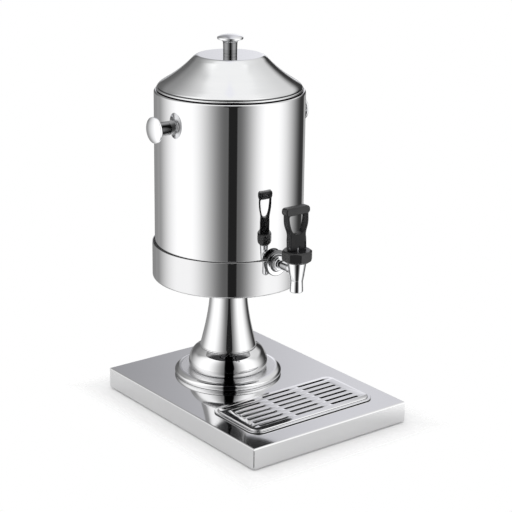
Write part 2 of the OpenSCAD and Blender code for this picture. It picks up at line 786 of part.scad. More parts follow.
module valve_stem() {
    tongue = 1.6;
    tongue_low = bonnet_top - past;
    foot_z = seat_z + 2;
    color(dark_steel) on_tap() difference() {
        union() {
            translate([0, 0, foot_z]) cylinder(h = bonnet_top - foot_z, r = stem_r);
            intersection() {
                translate([0, 0, tongue_low]) cylinder(h = pin_z - tongue_low + 2 * tongue, r = stem_r);
                union() {
                    translate([-stem_r, -tongue, tongue_low])
                        cube([2 * stem_r, 2 * tongue, pin_z - tongue_low]);
                    translate([0, 0, pin_z]) rotate([0, 90, 0])
                        cylinder(h = 2 * stem_r, r = tongue + 0.2, center = true);
                }
            }
        }
        translate([0, 0, pin_z]) rotate([0, 90, 0])
            cylinder(h = 4 * stem_r, r = pin_r + running, center = true);
    }
}

module seat_plug() {
    base = seat_z + gap;
    plug_r = outlet_r + 1.7;
    boss = stem_r + 1.8;
    color(silicone) on_tap() translate([0, 0, base]) rotate_extrude() polygon([[0, 0], [plug_r - 1.5, 0],
        [plug_r, 0.8], [plug_r, plug_h - 1], [plug_r - 0.6, plug_h], [boss, plug_h], [boss, plug_h + 3.4],
        [stem_r, plug_h + 3.4], [stem_r, 2 - gap], [0, 2 - gap]]);
}

// The return spring's helix, with closed ends a wire apart from the plug and the roof
module return_spring() {
    low = seat_z + gap + plug_h + spring_wire_r + seated;
    high = roof_z - spring_wire_r - seated;
    per_turn = 12;
    sides = 6;
    count = spring_turns * per_turn;
    rings = [for (i = [0:count]) let (a = 360 * i / per_turn, z = low + (high - low) * i / count)
        for (k = [0:sides - 1]) let (b = 360 * k / sides, r = spring_r + spring_wire_r * cos(b))
            [r * cos(a), r * sin(a), z + spring_wire_r * sin(b)]];
    faces = concat([[for (k = [0:sides - 1]) k]],
        [for (i = [0:count - 1], k = [0:sides - 1]) let (n = (k + 1) % sides, p = i * sides, q = p + sides)
            each [[p + k, q + k, p + n], [p + n, q + k, q + n]]],
        [[for (k = [sides - 1:-1:0]) count * sides + k]]);
    color(dark_steel) on_tap() polyhedron(rings, faces);
}

module pivot_pin() {
    color(steel) on_tap() translate([0, 0, pin_z]) rotate([0, 90, 0])
        cylinder(h = neck_w - 1, r = pin_r, center = true);
}

// Half of the lever's front outline, from its foot to the bar, as x against height above the foot
function lever_edge() = let (n = neck_w / 2, l = legs_w / 2, top = lever_h - gap - bar_h) concat(
    [[n - 0.6, 0], [n, 0.6], [n, 12]],
    curve([n, 12], [n, 16], [n - 0.6, 17], [n - 0.6, 20], 4),
    curve([n - 0.6, 20], [n - 0.2, 27], [l - 0.3, 30], [l, 40], 8),
    [[l, top + 1]]);

// Half of the window's outline, from its lowest point up
function window_edge() = let (w = window_w / 2, low = 20.8, top = lever_h - gap - bar_h) concat(
    [[0, low]],
    curve([0, low], [6.6, low], [w - 4, low + 4.2], [w - 1.9, low + 11.5], 8),
    curve([w - 1.9, low + 11.5], [w - 1, low + 15], [w, low + 20], [w, low + 23], 4),
    [[w, top - 3]],
    curve([w, top - 3], [w, top - 1], [w - 1, top], [w - 3, top], 4));

// A half outline closed by its mirror image
module both_sides(points) {
    polygon(concat(points, backwards([for (p = points) [-p[0], p[1]]])));
}

// A block of the lever: its front outline, as deep as given
module lever_block(depth) {
    translate([0, depth / 2, lever_z]) rotate([90, 0, 0]) linear_extrude(depth) children();
}

// Moves its children towards the drum, further with their height above the lever's foot
module leaning() {
    multmatrix([[1, 0, 0, 0], [0, 1, tan(lever_lean), lever_back - tan(lever_lean) * lever_z], [0, 0, 1, 0]])
        children();
}

module tap_lever() {
    bar_z = lever_h - gap - bar_h;
    bar_round = bar_h / 2 - 0.6;
    slot_half = stem_r + gap;
    pin_up = pin_z - lever_z;
    recess_h = 10;
    recess_deep = 1.2;
    recess_side = 0.4;
    swing_cut = [[slot_half, 0], [slot_half, -pin_up - past], [-2 * lever_front, -pin_up - past],
        [-2 * lever_front, -pin_up + 0.6], [-lever_front - 0.5, -1.3],
        [-slot_half * cos(lever_swing), slot_half * sin(lever_swing)]];
    color(black_plastic) on_tap() difference() {
        leaning() difference() {
            union() {
                difference() {
                    intersection() {
                        lever_block(lever_d) both_sides(lever_edge());
                        translate([-bar_w, 0, lever_z]) rotate([90, 0, 90]) linear_extrude(2 * bar_w) {
                            translate([-lever_d / 2, heel_r]) square([lever_d, lever_h]);
                            translate([-lever_d / 2 + heel_r, 0]) square([lever_d - 2 * heel_r, lever_h]);
                            for (y = [-1, 1]) translate([y * (lever_d / 2 - heel_r), heel_r]) circle(heel_r);
                        }
                    }
                    lever_block(2 * lever_d) both_sides(window_edge());
                }
                intersection() {
                    lever_block(bar_d) translate([0, bar_z + bar_h / 2]) rounded(bar_w, bar_h, bar_round);
                    translate([-bar_w, 0, lever_z + bar_z + bar_h / 2]) rotate([90, 0, 90])
                        linear_extrude(2 * bar_w) rounded(bar_d, bar_h, 2.4);
                }
            }
            translate([recess_side, -lever_d / 2 - past, lever_z - past])
                cube([neck_w / 2 - 1.2 - recess_side, past + recess_deep, recess_h + past]);
        }
        translate([0, 0, pin_z]) rotate([0, 90, 0]) {
            cylinder(h = 2 * neck_w, r = pin_r, center = true);
            cylinder(h = 2 * slot_half, r = slot_half, center = true);
        }
        translate([-slot_half, 0, pin_z]) rotate([90, 0, 90]) linear_extrude(2 * slot_half)
            polygon(swing_cut);
    }
}

base_plate();
plate_stiffener();
rubber_feet();
pedestal_foot();
pedestal_bulb();
pedestal_column();
tie_rod();
rod_washers();
rod_nuts();
base_cup();
cup_seal();
outer_shell();
inner_vessel();
left_knob();
right_knob();
knob_screws();
lid();
lid_skirt();
lid_gasket();
lid_knob();
lid_screw();
ice_socket();
ice_tube();
drip_tray();
tray_gasket();
drip_grid();
tap_body();
escutcheon();
tap_spacer();
tap_washer();
shank_nut();
bonnet();
bonnet_seal();
valve_stem();
seat_plug();
return_spring();
pivot_pin();
tap_lever();
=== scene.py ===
"""Looks of a countertop milk urn: a polished drum on a turned pedestal, with a lever tap over a drip tray.

Lengths in the outlines are millimetres, and MM turns them into metres. Places come from the frame.
"""

import json
import math

import bmesh
import bpy
from mathutils import Matrix, Vector
from mathutils.geometry import tessellate_polygon


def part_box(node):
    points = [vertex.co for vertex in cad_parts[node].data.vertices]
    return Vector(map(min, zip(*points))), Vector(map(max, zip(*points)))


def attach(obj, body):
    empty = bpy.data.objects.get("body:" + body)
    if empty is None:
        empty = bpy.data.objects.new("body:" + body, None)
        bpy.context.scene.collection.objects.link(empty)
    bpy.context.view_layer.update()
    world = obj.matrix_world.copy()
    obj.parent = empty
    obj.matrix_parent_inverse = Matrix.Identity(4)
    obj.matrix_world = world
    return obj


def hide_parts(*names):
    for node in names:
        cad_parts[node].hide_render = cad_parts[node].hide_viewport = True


MM = 0.001
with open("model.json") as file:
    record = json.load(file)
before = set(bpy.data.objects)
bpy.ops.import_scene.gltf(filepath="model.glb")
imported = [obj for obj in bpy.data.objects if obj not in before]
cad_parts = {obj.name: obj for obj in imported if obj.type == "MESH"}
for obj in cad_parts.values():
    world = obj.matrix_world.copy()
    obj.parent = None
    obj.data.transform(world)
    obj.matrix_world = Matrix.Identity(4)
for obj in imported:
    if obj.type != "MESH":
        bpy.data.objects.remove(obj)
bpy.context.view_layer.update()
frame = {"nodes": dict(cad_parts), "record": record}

# Camera
PHOTO_SIDE = 512
CAMERA_AZIMUTH = -36.66
CAMERA_ELEVATION = 17.43
CAMERA_DISTANCE = 2145.06 * MM
CAMERA_FOCUS = 1543.8
CAMERA_ROLL = 0.4
AIM_POINT = Vector((0, 61, 222)) * MM
AIM_PIXEL = (228.77, 243.02)
SENSOR = 36.0

# Sizes in millimetres that a piece shares with its finish
FOOT_EDGE = 9.5
VESSEL_RADIUS = 96.4
BEAD = 1.9
KNOB_STEM = 9.4
HUB_RADIUS = 10.5


class Value:
    """What comes out of one socket. A sum that is written with it adds Math nodes to its sheet."""

    def __init__(self, sheet, socket):
        self.sheet = sheet
        self.socket = socket

    def maths(self, operation, *terms):
        return self.sheet.node("Math", {"operation": operation}, dict(enumerate(terms)))

    def __add__(self, other):
        return self.maths("ADD", self, other)

    def __radd__(self, other):
        return self.maths("ADD", other, self)

    def __sub__(self, other):
        return self.maths("SUBTRACT", self, other)

    def __rsub__(self, other):
        return self.maths("SUBTRACT", other, self)

    def __mul__(self, other):
        return self.maths("MULTIPLY", self, other)

    def __rmul__(self, other):
        return self.maths("MULTIPLY", other, self)

    def __truediv__(self, other):
        return self.maths("DIVIDE", self, other)

    def __abs__(self):
        return self.maths("ABSOLUTE", self)

    def or_more(self, other):
        """The larger of the two."""
        return self.maths("MAXIMUM", self, other)

    def hypotenuse(self, other):
        """The distance across this and another at right angles to it."""
        return self.maths("SQRT", self * self + other * other)

    def step(self, none, full):
        """0 on the side of none, 1 on the side of full, with a soft slope between them."""
        low, high = sorted((none, full))
        rising = self.sheet.node(
            "MapRange",
            {"interpolation_type": "SMOOTHSTEP"},
            {"Value": self, "From Min": low, "From Max": high},
        )
        return rising if none < full else 1 - rising


class Sheet:
    """The nodes of one finish."""

    def __init__(self, tree):
        tree.nodes.clear()
        self.tree = tree

    def node(self, kind, settings=(), sockets=(), out=0):
        """Adds one node of a kind, with its settings and then its sockets, and gives its output."""
        made = self.tree.nodes.new("ShaderNode" + kind)
        for name, value in dict(settings).items():
            setattr(made, name, value)
        for name, value in dict(sockets).items():
            if isinstance(value, Value):
                self.tree.links.new(value.socket, made.inputs[name])
            else:
                made.inputs[name].default_value = value
        return Value(self, made.outputs[out]) if made.outputs else None

    def place(self):
        """The place on the piece, in metres in the frame at rest."""
        return self.node("TexCoord", out="Object")

    def split(self, vector):
        """The X, Y and Z of a vector."""
        parts = self.node("SeparateXYZ", (), {0: vector}).socket.node.outputs
        return [Value(self, parts[letter]) for letter in "XYZ"]

    def rays(self):
        """1 for rays that come straight from the camera, and 1 for rays off a gloss."""
        path = self.node("LightPath").socket.node.outputs
        return Value(self, path["Is Camera Ray"]), Value(self, path["Is Glossy Ray"])

    def noise(self, fineness, detail=2.0, vector=None):
        """Cloudy noise from 0 to 1, with that many lumps to a metre along X, Y and Z."""
        spread = self.node(
            "VectorMath",
            {"operation": "MULTIPLY"},
            {0: vector or self.place(), 1: fineness},
        )
        return self.node("TexNoise", (), {"Vector": spread, "Scale": 1.0, "Detail": detail})

    def blend(self, first, second, share):
        """A colour between two colours."""
        return self.node("Mix", {"data_type": "RGBA"}, {0: share, 6: first, 7: second}, out=2)

    def bump(self, height, depth):
        """A normal for relief of that depth in millimetres."""
        return self.node("Bump", (), {"Height": height, "Strength": 1.0, "Distance": depth * MM})


def colour(red, green, blue):
    """A colour for a socket, from shares of light."""
    return (red, green, blue, 1.0)


def finish(name, paint, *details):
    """A material whose shader is made by paint on a clean sheet, with its details."""
    made = bpy.data.materials.new(name)
    made.use_nodes = True
    sheet = Sheet(made.node_tree)
    sheet.node("OutputMaterial", (), {"Surface": paint(sheet, *details)})
    return made


def away_from(sheet, point):
    """How far the place on the piece lies from a point along X, Y and Z."""
    away = sheet.node("VectorMath", {"operation": "SUBTRACT"}, {0: sheet.place(), 1: point})
    return sheet.split(away)


def round_the_axis(sheet, axis):
    """The radius, angle and height of the place on the piece about an upright axis through a point."""
    x, y, z = away_from(sheet, axis)
    return x.hypotenuse(y), x.maths("ARCTAN2", x, y), z


def darkened(sheet, bright, shade):
    """A colour with painted shade: it goes to nearly black by the share that shade gives for the place."""
    return sheet.blend(bright, colour(0.02, 0.02, 0.022), shade(sheet)) if shade else bright


def mirror_steel(sheet, marks, rough, shade=None, dull=None):
    """Mirror-polished steel with wiped smudges, and faint polishing marks with so many lines to a metre.

    Shade gives the share of painted black shade at a place, and dull what is added to the roughness there.
    """
    smudge = sheet.noise((14, 14, 9), 4.0).step(0.35, 0.75)
    lines = sheet.noise(marks, 1.0)
    tone = sheet.noise((6, 6, 3), 2.0)
    bright = sheet.blend(colour(0.80, 0.80, 0.81), colour(0.86, 0.86, 0.86), tone)
    return sheet.node("BsdfPrincipled", (), {
        "Base Color": darkened(sheet, bright, shade),
        "Metallic": 1.0,
        "Roughness": rough + 0.02 * smudge + 0.015 * lines + (dull(sheet) if dull else 0),
        "Normal": sheet.bump(lines, 0.0004),
    })


def satin_steel(sheet, axis, rough, shade=None):
    """Steel brushed on a lathe: fine rings round its axis, and a soft gloss."""
    radius, angle, height = round_the_axis(sheet, axis)
    along = sheet.node("CombineXYZ", (), {0: radius, 1: height, 2: angle})
    rings = sheet.noise((2600, 2600, 1.2), 3.0, along)
    bands = sheet.noise((160, 160, 0.6), 2.0, along)
    cloud = sheet.noise((11, 11, 11), 3.0)
    bright = sheet.blend(colour(0.77, 0.78, 0.79), colour(0.84, 0.84, 0.84), bands * 0.6 + cloud * 0.4)
    return sheet.node("BsdfPrincipled", (), {
        "Base Color": darkened(sheet, bright, shade),
        "Metallic": 1.0,
        "Roughness": rough + 0.05 * rings + 0.03 * cloud,
        "Normal": sheet.bump(rings, 0.0008),
    })


def basin_steel(sheet, rim):
    """Pressed steel, bright on the flange at the height of the rim; down in the basin it is rougher, with
    painted shade in its colour.
    """
    height = round_the_axis(sheet, (0, 0, 0))[2]
    inside = height.step(rim, rim - 4 * MM)
    cloud = sheet.noise((30, 30, 30), 3.0)
    grain = sheet.noise((900, 900, 900), 2.0)
    bright = sheet.blend(colour(0.80, 0.80, 0.81), colour(0.85, 0.85, 0.86), cloud)
    # Painted shade: the basin's dark colour stands in for the shade inside it
    dull = sheet.blend(colour(0.16, 0.16, 0.165), colour(0.24, 0.24, 0.245), cloud)
    return sheet.node("BsdfPrincipled", (), {
        "Base Color": sheet.blend(bright, dull, inside),
        "Metallic": 1.0,
        "Roughness": 0.08 + 0.03 * grain + 0.22 * inside,
        "Normal": sheet.bump(grain, 0.0008),
    })


def chrome(sheet, shade=None):
    """Bright chrome plate with a trace of orange peel and a few wiped smudges."""
    peel = sheet.noise((420, 420, 420), 1.0)
    smudge = sheet.noise((60, 60, 60), 3.0).step(0.45, 0.8)
    bright = sheet.blend(colour(0.86, 0.87, 0.88), colour(0.90, 0.90, 0.91), peel)
    return sheet.node("BsdfPrincipled", (), {
        "Base Color": darkened(sheet, bright, shade),
        "Metallic": 1.0,
        "Roughness": 0.025 + 0.04 * smudge,
        "Normal": sheet.bump(peel, 0.0006),
    })


def plain_steel(sheet):
    """Zinc-plated steel, dull and slightly mottled."""
    mottle = sheet.noise((260, 260, 260), 4.0)
    spots = sheet.noise((1100, 1100, 1100), 2.0)
    return sheet.node("BsdfPrincipled", (), {
        "Base Color": sheet.blend(colour(0.46, 0.47, 0.49), colour(0.62, 0.62, 0.63), mottle),
        "Metallic": 1.0,
        "Roughness": 0.30 + 0.18 * spots,
        "Normal": sheet.bump(spots, 0.003),
    })


def moulded_plastic(sheet, gloss):
    """Black moulded plastic with a fine spark-eroded grain, polished a little by handling."""
    grain = sheet.noise((2300, 2300, 2300), 2.0)
    worn = sheet.noise((70, 70, 70), 3.0).step(0.35, 0.7)
    return sheet.node("BsdfPrincipled", (), {
        "Base Color": sheet.blend(colour(0.007, 0.007, 0.008), colour(0.012, 0.012, 0.013), worn),
        "Roughness": 0.30 - 0.10 * worn + 0.06 * grain,
        "IOR": gloss,
        "Normal": sheet.bump(grain, 0.009),
    })


def rubber(sheet):
    """Black rubber, matt and faintly dusty."""
    dust = sheet.noise((300, 300, 300), 4.0)
    return sheet.node("BsdfPrincipled", (), {
        "Base Color": sheet.blend(colour(0.014, 0.014, 0.015), colour(0.038, 0.037, 0.036), dust),
        "Roughness": 0.62 + 0.2 * dust,
        "Normal": sheet.bump(dust, 0.02),
    })


def silicone(sheet):
    """Milky silicone with a soft gloss."""
    cloud = sheet.noise((180, 180, 180), 3.0)
    return sheet.node("BsdfPrincipled", (), {
        "Base Color": sheet.blend(colour(0.70, 0.71, 0.69), colour(0.80, 0.81, 0.79), cloud),
        "Roughness": 0.38 + 0.12 * cloud,
        "IOR": 1.42,
        "Normal": sheet.bump(cloud, 0.01),
    })


def middle(node):
    """The middle of a node's box."""
    low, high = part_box(node)
    return (low + high) / 2


DRUM = middle("outer_shell")
DRUM_AXIS = (DRUM.x, DRUM.y, 0)
SPOUT = middle("bonnet")
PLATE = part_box("base_plate")[1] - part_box("base_plate")[0]

# Polishing marks: how many lines to a metre lie along X, Y and Z
UPRIGHT_MARKS = (22, 22, 1900)
FLAT_MARKS = (14, 1500, 14)


def drum_shade(sheet):
    """Painted shade in the gap between shell and bead and on the front of the base cup's underside;
    everything below the cup's top a little darker.
    """
    radius, _, height = round_the_axis(sheet, DRUM_AXIS)
    shell_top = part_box("outer_shell")[1]
    cup_low, cup_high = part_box("base_cup")
    shoulder = shell_top.x - DRUM.x - 2.9 * MM
    inside = radius.step(shoulder + 0.4 * MM, shoulder - 0.4 * MM)
    gap = inside * height.step(shell_top.z - 2 * MM, shell_top.z - 1 * MM)
    x, y, _ = away_from(sheet, DRUM_AXIS)
    ahead = math.radians(CAMERA_AZIMUTH)
    forward = x * math.sin(ahead) - y * math.cos(ahead)
    # Painted shade on the half of the cup's underside that faces the camera
    under = height.step(cup_low.z + 0.6 * MM, cup_low.z + 0.2 * MM) * forward.step(-25 * MM, 15 * MM)
    cup = height.step(cup_high.z + 0.1 * MM, cup_high.z - 0.1 * MM)
    return gap.or_more(0.95 * under).or_more(0.12 * cup)


def bead_shade(sheet):
    """Painted shade on the underside of the vessel's bead."""
    radius, _, height = round_the_axis(sheet, DRUM_AXIS)
    middle_of_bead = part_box("inner_vessel")[1].z - BEAD * MM
    below = height.step(middle_of_bead + 0.2 * MM, middle_of_bead - 0.3 * MM)
    above = height.step(middle_of_bead - 4 * MM, middle_of_bead - 3 * MM)
    outside = radius.step(VESSEL_RADIUS * MM, (VESSEL_RADIUS + 0.3) * MM)
    return outside * below * above


def rim_shade(sheet):
    """Painted shade on the hem under the lid's rim."""
    height = round_the_axis(sheet, DRUM_AXIS)[2]
    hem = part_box("lid")[0].z
    return 0.9 * height.step(hem + 1.5 * MM, hem + 0.9 * MM)


def stem_shade(sheet):
    """Painted shade on the stems of the three knobs, away from their caps."""
    x, y, height = away_from(sheet, DRUM_AXIS)
    over_sides = height - middle("left_knob").z
    on_top = over_sides.step(60 * MM, 61 * MM)
    from_axis = x.hypotenuse(y) * on_top + y.hypotenuse(over_sides) * (1 - on_top)
    side_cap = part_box("right_knob")[1].x - DRUM.x - 5 * MM
    top_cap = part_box("lid_knob")[1].z - 5 * MM
    below_caps = height.step(top_cap, top_cap - 1 * MM) * abs(x).step(side_cap, side_cap - 1 * MM)
    return 0.72 * from_axis.step((KNOB_STEM + 2.1) * MM, (KNOB_STEM + 0.6) * MM) * below_caps


def disc_shade(sheet):
    """Painted shade on the escutcheon's rim, in the groove at its hub, and over the upper half of its dish.
    """
    x, _, z = away_from(sheet, middle("escutcheon"))
    radius = x.hypotenuse(z)
    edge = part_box("escutcheon")[1].x - SPOUT.x
    rim = radius.step(edge - 1.5 * MM, edge - 0.9 * MM)
    from_hub = radius - HUB_RADIUS * MM
    groove = from_hub.step(-0.3 * MM, 0.3 * MM) * from_hub.step(2.1 * MM, 1.3 * MM)
    dish = from_hub.step(1.5 * MM, 2.5 * MM) * z.step(2 * MM, 7 * MM)
    return (0.85 * rim).or_more(0.9 * groove).or_more(0.85 * dish)


def painted_reflection_stripe(sheet, axis, full, none):
    """A painted dark reflection: a stripe up the front left of a round piece, full and gone at that many
    degrees to its sides.
    """
    angle = round_the_axis(sheet, axis)[1]
    facing = math.radians(-181.5 - CAMERA_AZIMUTH)
    turn = angle.maths("WRAP", angle - facing, math.pi, -math.pi)
    return abs(turn).step(math.radians(none), math.radians(full))


def foot_shade(sheet):
    """Painted dark reflection: the stripe up the foot ring and the bulb."""
    height = round_the_axis(sheet, DRUM_AXIS)[2]
    bulb_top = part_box("pedestal_bulb")[1].z
    low = height.step(bulb_top - 1 * MM, bulb_top - 3 * MM)
    return painted_reflection_stripe(sheet, DRUM_AXIS, 5.5, 8) * low


def foot_dull(sheet):
    """The flat top of the foot ring, which is satin."""
    radius, _, height = round_the_axis(sheet, DRUM_AXIS)
    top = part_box("pedestal_foot")[1]
    edge = top.x - DRUM.x - FOOT_EDGE * MM
    flat = radius.step(edge + 1 * MM, edge - 0.1 * MM)
    level = height.step(top.z - 0.3 * MM, top.z - 0.1 * MM) * height.step(top.z + 0.2 * MM, top.z + 0.1 * MM)
    return 0.26 * flat * level


def spout_shade(sheet):
    """A painted dark reflection down the front left of the spout, and painted shade at its lower edge."""
    axis = (SPOUT.x, SPOUT.y, 0)
    height = round_the_axis(sheet, axis)[2]
    stripe = painted_reflection_stripe(sheet, axis, 8, 17)
    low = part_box("tap_body")[0].z
    end = height.step(low + 1.1 * MM, low + 0.5 * MM)
    return (0.75 * stripe).or_more(0.8 * end)


# Finishes given a shade function have painted shade and painted dark reflections in their colour
drum_steel = finish("drum_steel", mirror_steel, UPRIGHT_MARKS, 0.03, drum_shade)
turned_steel = finish("turned_steel", mirror_steel, UPRIGHT_MARKS, 0.025, foot_shade, foot_dull)
plate_steel = finish("plate_steel", mirror_steel, FLAT_MARKS, 0.05)
grid_steel = finish("grid_steel", mirror_steel, FLAT_MARKS, 0.07)
lid_steel = finish("lid_steel", satin_steel, DRUM_AXIS, 0.07, rim_shade)
vessel_steel = finish("vessel_steel", satin_steel, DRUM_AXIS, 0.16, bead_shade)
tray_steel = finish("tray_steel", basin_steel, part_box("drip_tray")[1].z - 1.5 * MM)
bright_chrome = finish("bright_chrome", chrome)
knob_chrome = finish("knob_chrome", chrome, stem_shade)
disc_chrome = finish("disc_chrome", chrome, disc_shade)
spout_chrome = finish("spout_chrome", chrome, spout_shade)
fixing_steel = finish("fixing_steel", plain_steel)
black_plastic = finish("black_plastic", moulded_plastic, 1.52)
dull_plastic = finish("dull_plastic", moulded_plastic, 1.32)
black_rubber = finish("black_rubber", rubber)
milky_silicone = finish("milky_silicone", silicone)


def bend(a, b, c, d, steps=12):
    """Points of a cubic curve from a to d, drawn towards b and c, without a itself."""
    points = []
    for i in range(1, steps + 1):
        t = i / steps
        s = 1 - t
        shares = (s * s * s, 3 * s * s * t, 3 * s * t * t, t * t * t)
        points.append(tuple(sum(w * p[k] for w, p in zip(shares, (a, b, c, d))) for k in (0, 1)))
    return points


def arc(centre, radius, start, end, steps=8):
    """Points of an arc, from one angle to another in degrees."""
    angles = [math.radians(start + (end - start) * i / steps) for i in range(steps + 1)]
    return [(centre[0] + radius * math.cos(a), centre[1] + radius * math.sin(a)) for a in angles]


def softened(corners, steps=5):
    """An open outline through corners (x, y, radius), each corner rounded by an arc of its radius."""
    points = []
    for i, (x, y, radius) in enumerate(corners):
        if radius == 0 or i in (0, len(corners) - 1):
            points.append((x, y))
            continue
        here = Vector((x, y))
        back = (Vector(corners[i - 1][:2]) - here).normalized()
        on = (Vector(corners[i + 1][:2]) - here).normalized()
        half = back.angle(on) / 2
        reach = radius / math.tan(half)
        first = here + back * reach
        last = here + on * reach
        centre = here + (back + on).normalized() * (radius / math.sin(half))
        start = math.atan2(first.y - centre.y, first.x - centre.x)
        turn = math.atan2(last.y - centre.y, last.x - centre.x) - start
        turn = (turn + math.pi) % (2 * math.pi) - math.pi
        for k in range(steps + 1):
            a = start + turn * k / steps
            points.append((centre.x + radius * math.cos(a), centre.y + radius * math.sin(a)))
    return points


def moved_in(points, wall):
    """A profile moved square to itself by wall, towards its left-hand side."""
    moved = []
    for i, point in enumerate(points):
        before = Vector(points[max(i - 1, 0)])
        after = Vector(points[min(i + 1, len(points) - 1)])
        along = (after - before).normalized()
        moved.append((point[0] - wall * along.y, point[1] + wall * along.x))
    return moved


def walled(profile, wall):
    """The closed outline of a shell of that wall, from its outer profile."""
    return profile + moved_in(profile, wall)[::-1]


def surface(name, rings, looped, matrix=Matrix.Identity(4)):
    """A mesh object through rings of points, each ring closed. Looped joins the last ring to the first."""
    mesh = bmesh.new()
    made = [[mesh.verts.new(matrix @ Vector(p)) for p in ring] for ring in rings]
    pairs = list(zip(made, made[1:]))
    if looped:
        pairs.append((made[-1], made[0]))
    for low, high in pairs:
        count = max(len(low), len(high))
        for i in range(count):
            n = (i + 1) % count
            if len(low) == 1:
                mesh.faces.new((low[0], high[n], high[i]))
            elif len(high) == 1:
                mesh.faces.new((low[i], low[n], high[0]))
            else:
                mesh.faces.new((low[i], low[n], high[n], high[i]))
    if not looped:
        for ring in (made[0], made[-1]):
            if len(ring) > 2:
                mesh.faces.new(ring)
    return solid(name, mesh)


def solid(name, mesh, crease=38):
    """An object from a bmesh, smooth but for edges sharper than the crease."""
    bmesh.ops.recalc_face_normals(mesh, faces=mesh.faces)
    data = bpy.data.meshes.new(name)
    mesh.to_mesh(data)
    mesh.free()
    data.shade_smooth()
    data.set_sharp_from_angle(angle=math.radians(crease))
    piece = bpy.data.objects.new(name, data)
    bpy.context.scene.collection.objects.link(piece)
    return piece


def circle(radius, height, turns):
    """Points of a level circle in metres, or one point on the axis, from millimetres."""
    if radius < 0.001:
        return [(0, 0, height * MM)]
    angles = [2 * math.pi * i / turns for i in range(turns)]
    return [(radius * MM * math.cos(a), radius * MM * math.sin(a), height * MM) for a in angles]


def lathe(name, outline, matrix, looped=False, turns=192):
    """Turns an outline of (radius, height) in millimetres round the matrix's Z axis."""
    rings = [circle(radius, height, turns) for radius, height in outline]
    return surface(name, rings, looped, matrix)


def put(piece, material, body, slot, *nodes):
    """Gives a piece its finish and body, and hides the CAD nodes it stands for."""
    piece.data.materials.append(material)
    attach(piece, body)
    if nodes:
        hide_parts(*nodes)
    return piece


def on_drum(height):
    """A place on the drum's axis."""
    return Matrix.Translation((DRUM.x, DRUM.y, height))


def size(node):
    """A node's width, depth and height in millimetres."""
    low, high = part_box(node)
    return (high - low) / MM


def pedestal():
    """Foot ring, bulb and trumpet column of spun steel. The ring is fullest low on its edge."""
    wall = 1.2
    wide, _, high = size("pedestal_foot")
    r = wide / 2
    fullest = (r, 4.2)
    crown = (r - FOOT_EDGE, high)
    profile = bend((r - 1.6, 0), (r - 0.6, 1), (r, 2.6), fullest, 10)
    profile += bend(fullest, (r, 7.4), (r - 4.6, high), crown, 20) + [(52, high), (20, high)]
    ring = lathe("foot_ring", walled(profile, wall), on_drum(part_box("pedestal_foot")[0].z), True)
    put(ring, turned_steel, "urn", "polished_steel", "pedestal_foot")

    wide, _, high = size("pedestal_bulb")
    r = wide / 2
    top = 38
    profile = bend((r - 5, 0), (r - 1.6, 0.8), (r, 4), (r, 8), 10)
    profile += bend((r, 8), (r, 15), (r - 3.6, 23.5), (r - 9, 27), 16)
    profile += bend((r - 9, 27), (r - 12, 28.9), (top + 2, high - 0.3), (top, high), 8)
    profile += [(6, high)]
    bulb = lathe("bulb", walled(profile, wall), on_drum(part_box("pedestal_bulb")[0].z), True)
    put(bulb, turned_steel, "urn", "polished_steel", "pedestal_bulb")

    wide, _, high = size("pedestal_column")
    r = wide / 2
    top = 25
    lip = 1.8
    profile = arc((r - lip / 2, lip / 2), lip / 2, -60, 100, 8)
    profile += bend((r - 0.9, lip), (r - 7.2, high * 0.27), (top + 0.4, high * 0.52), (top, high), 40)
    profile += [(6, high)]
    column = lathe("column", walled(profile, wall), on_drum(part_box("pedestal_column")[0].z), True)
    put(column, turned_steel, "urn", "polished_steel", "pedestal_column")


